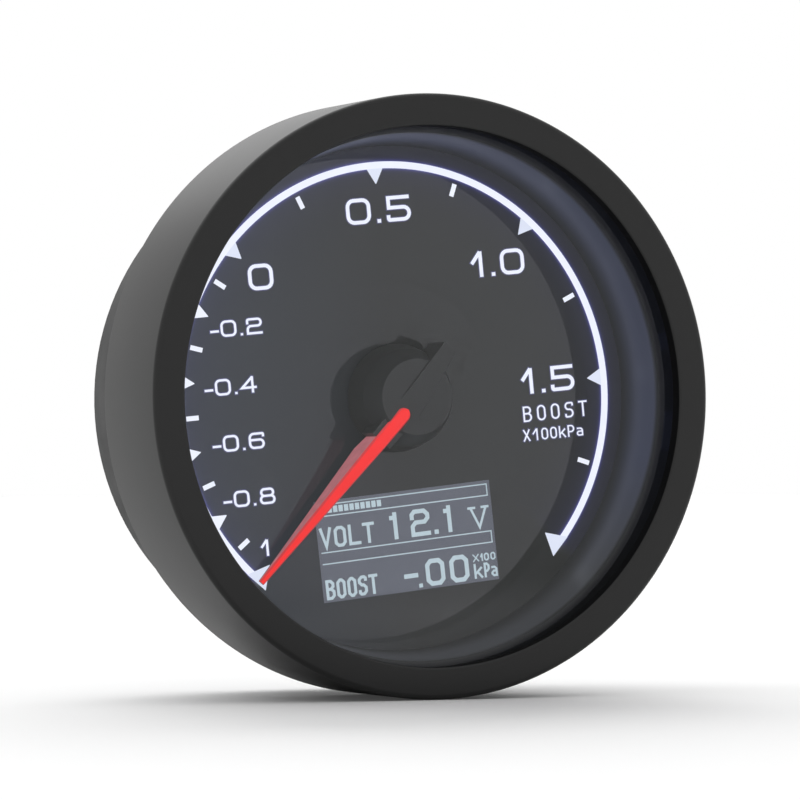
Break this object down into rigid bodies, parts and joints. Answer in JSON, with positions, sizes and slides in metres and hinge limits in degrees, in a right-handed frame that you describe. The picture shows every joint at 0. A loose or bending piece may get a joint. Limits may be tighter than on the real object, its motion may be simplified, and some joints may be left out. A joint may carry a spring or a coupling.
{
  "type": "boost gauge",
  "caption": "Round panel gauge with a lit pointer on a 270 degree scale, a small display in the dial, and two rear sockets; its round body goes into a pod.",
  "frame": {"origin": "on the gauge's axis, in the plane of the flange's back face, where the body enters the pod", "axes": "+Y along the axis from the dial to the rear, +Z to twelve o'clock on the dial, +X to the viewer's right"},
  "size_m": [0.0692, 0.0321, 0.0692],
  "materials": {
    "ring_paint": "fine satin black paint",
    "soft_rubber": "soft black rubber",
    "clear_lens": "clear polished acrylic",
    "black_plastic": "moulded, fine matt grain",
    "dial_black": "polished smoked acrylic",
    "lit_print": "white print lit from behind",
    "milky_guide": "milky acrylic",
    "display_glass": "dark display glass",
    "amber_film": "flexible circuit film",
    "board_green": "solder mask over glass laminate",
    "white_lamp": "lamp resin",
    "red_lamp": "lamp resin",
    "chip_black": "moulded chip resin",
    "bare_aluminium": "plain drawn can",
    "bright_steel": "plain",
    "black_steel": "blackened steel",
    "ivory_plastic": "natural nylon",
    "contact_brass": "plated",
    "white_nylon": "moulded acetal",
    "soft_iron": "plain",
    "copper_wire": "enamelled copper wire",
    "pointer_red": "clear red acrylic, lit from the root",
    "backing_black": "foil"
  },
  "bodies": {
    "gauge": {"front_ring": "ring_paint", "lens_gasket": "soft_rubber", "lens": "clear_lens", "inner_shroud": "black_plastic", "dial_face": "dial_black", "scale_marks": "lit_print", "scale_numbers": "lit_print", "light_guide": "milky_guide", "display_glass": "display_glass", "display_frame": "black_plastic", "display_ribbon": "amber_film", "main_board": "board_green", "scale_lamps": "white_lamp", "pointer_lamps": "red_lamp", "control_chip": "chip_black", "motor_driver": "chip_black", "voltage_regulator": "chip_black", "filter_capacitor": "bare_aluminium", "board_screws": "bright_steel", "body_shell": "black_plastic", "rear_cover": "black_plastic", "cover_screws": "black_steel", "power_socket": "ivory_plastic", "sensor_socket": "ivory_plastic", "power_contacts": "contact_brass", "sensor_contacts": "contact_brass", "movement_front": "white_nylon", "movement_back": "white_nylon", "stator": "soft_iron", "left_coil": "copper_wire", "right_coil": "copper_wire", "coil_contacts": "bright_steel", "middle_gear_pin": "bright_steel"},
    "pointer": {"pointer_cap": "black_plastic", "pointer_blade": "pointer_red", "pointer_backing": "backing_black", "pointer_bush": "white_nylon", "pointer_shaft": "bright_steel", "pointer_wheel": "white_nylon"},
    "middle_gear": {"middle_gear": "white_nylon"},
    "rotor": {"rotor_magnet": "soft_iron", "rotor_pinion": "white_nylon"}
  },
  "joints": [
    {"name": "pointer_turn", "type": "hinge", "parent": "gauge", "child": "pointer", "pos_m": [0, 0, 0], "axis": [0, 1, 0], "range_deg": [0, 270]},
    {"name": "middle_gear_turn", "type": "hinge", "parent": "gauge", "child": "middle_gear", "pos_m": [0.00328, 0, 0.00902], "axis": [0, 1, 0], "range_deg": [-4050, 0]},
    {"name": "rotor_turn", "type": "hinge", "parent": "gauge", "child": "rotor", "pos_m": [-0.00284, 0, 0.01188], "axis": [0, 1, 0], "range_deg": [0, 48600]}
  ],
  "couplings": [
    {"joint": "middle_gear_turn", "follows": "pointer_turn", "ratio": -15},
    {"joint": "rotor_turn", "follows": "pointer_turn", "ratio": 180}
  ]
}
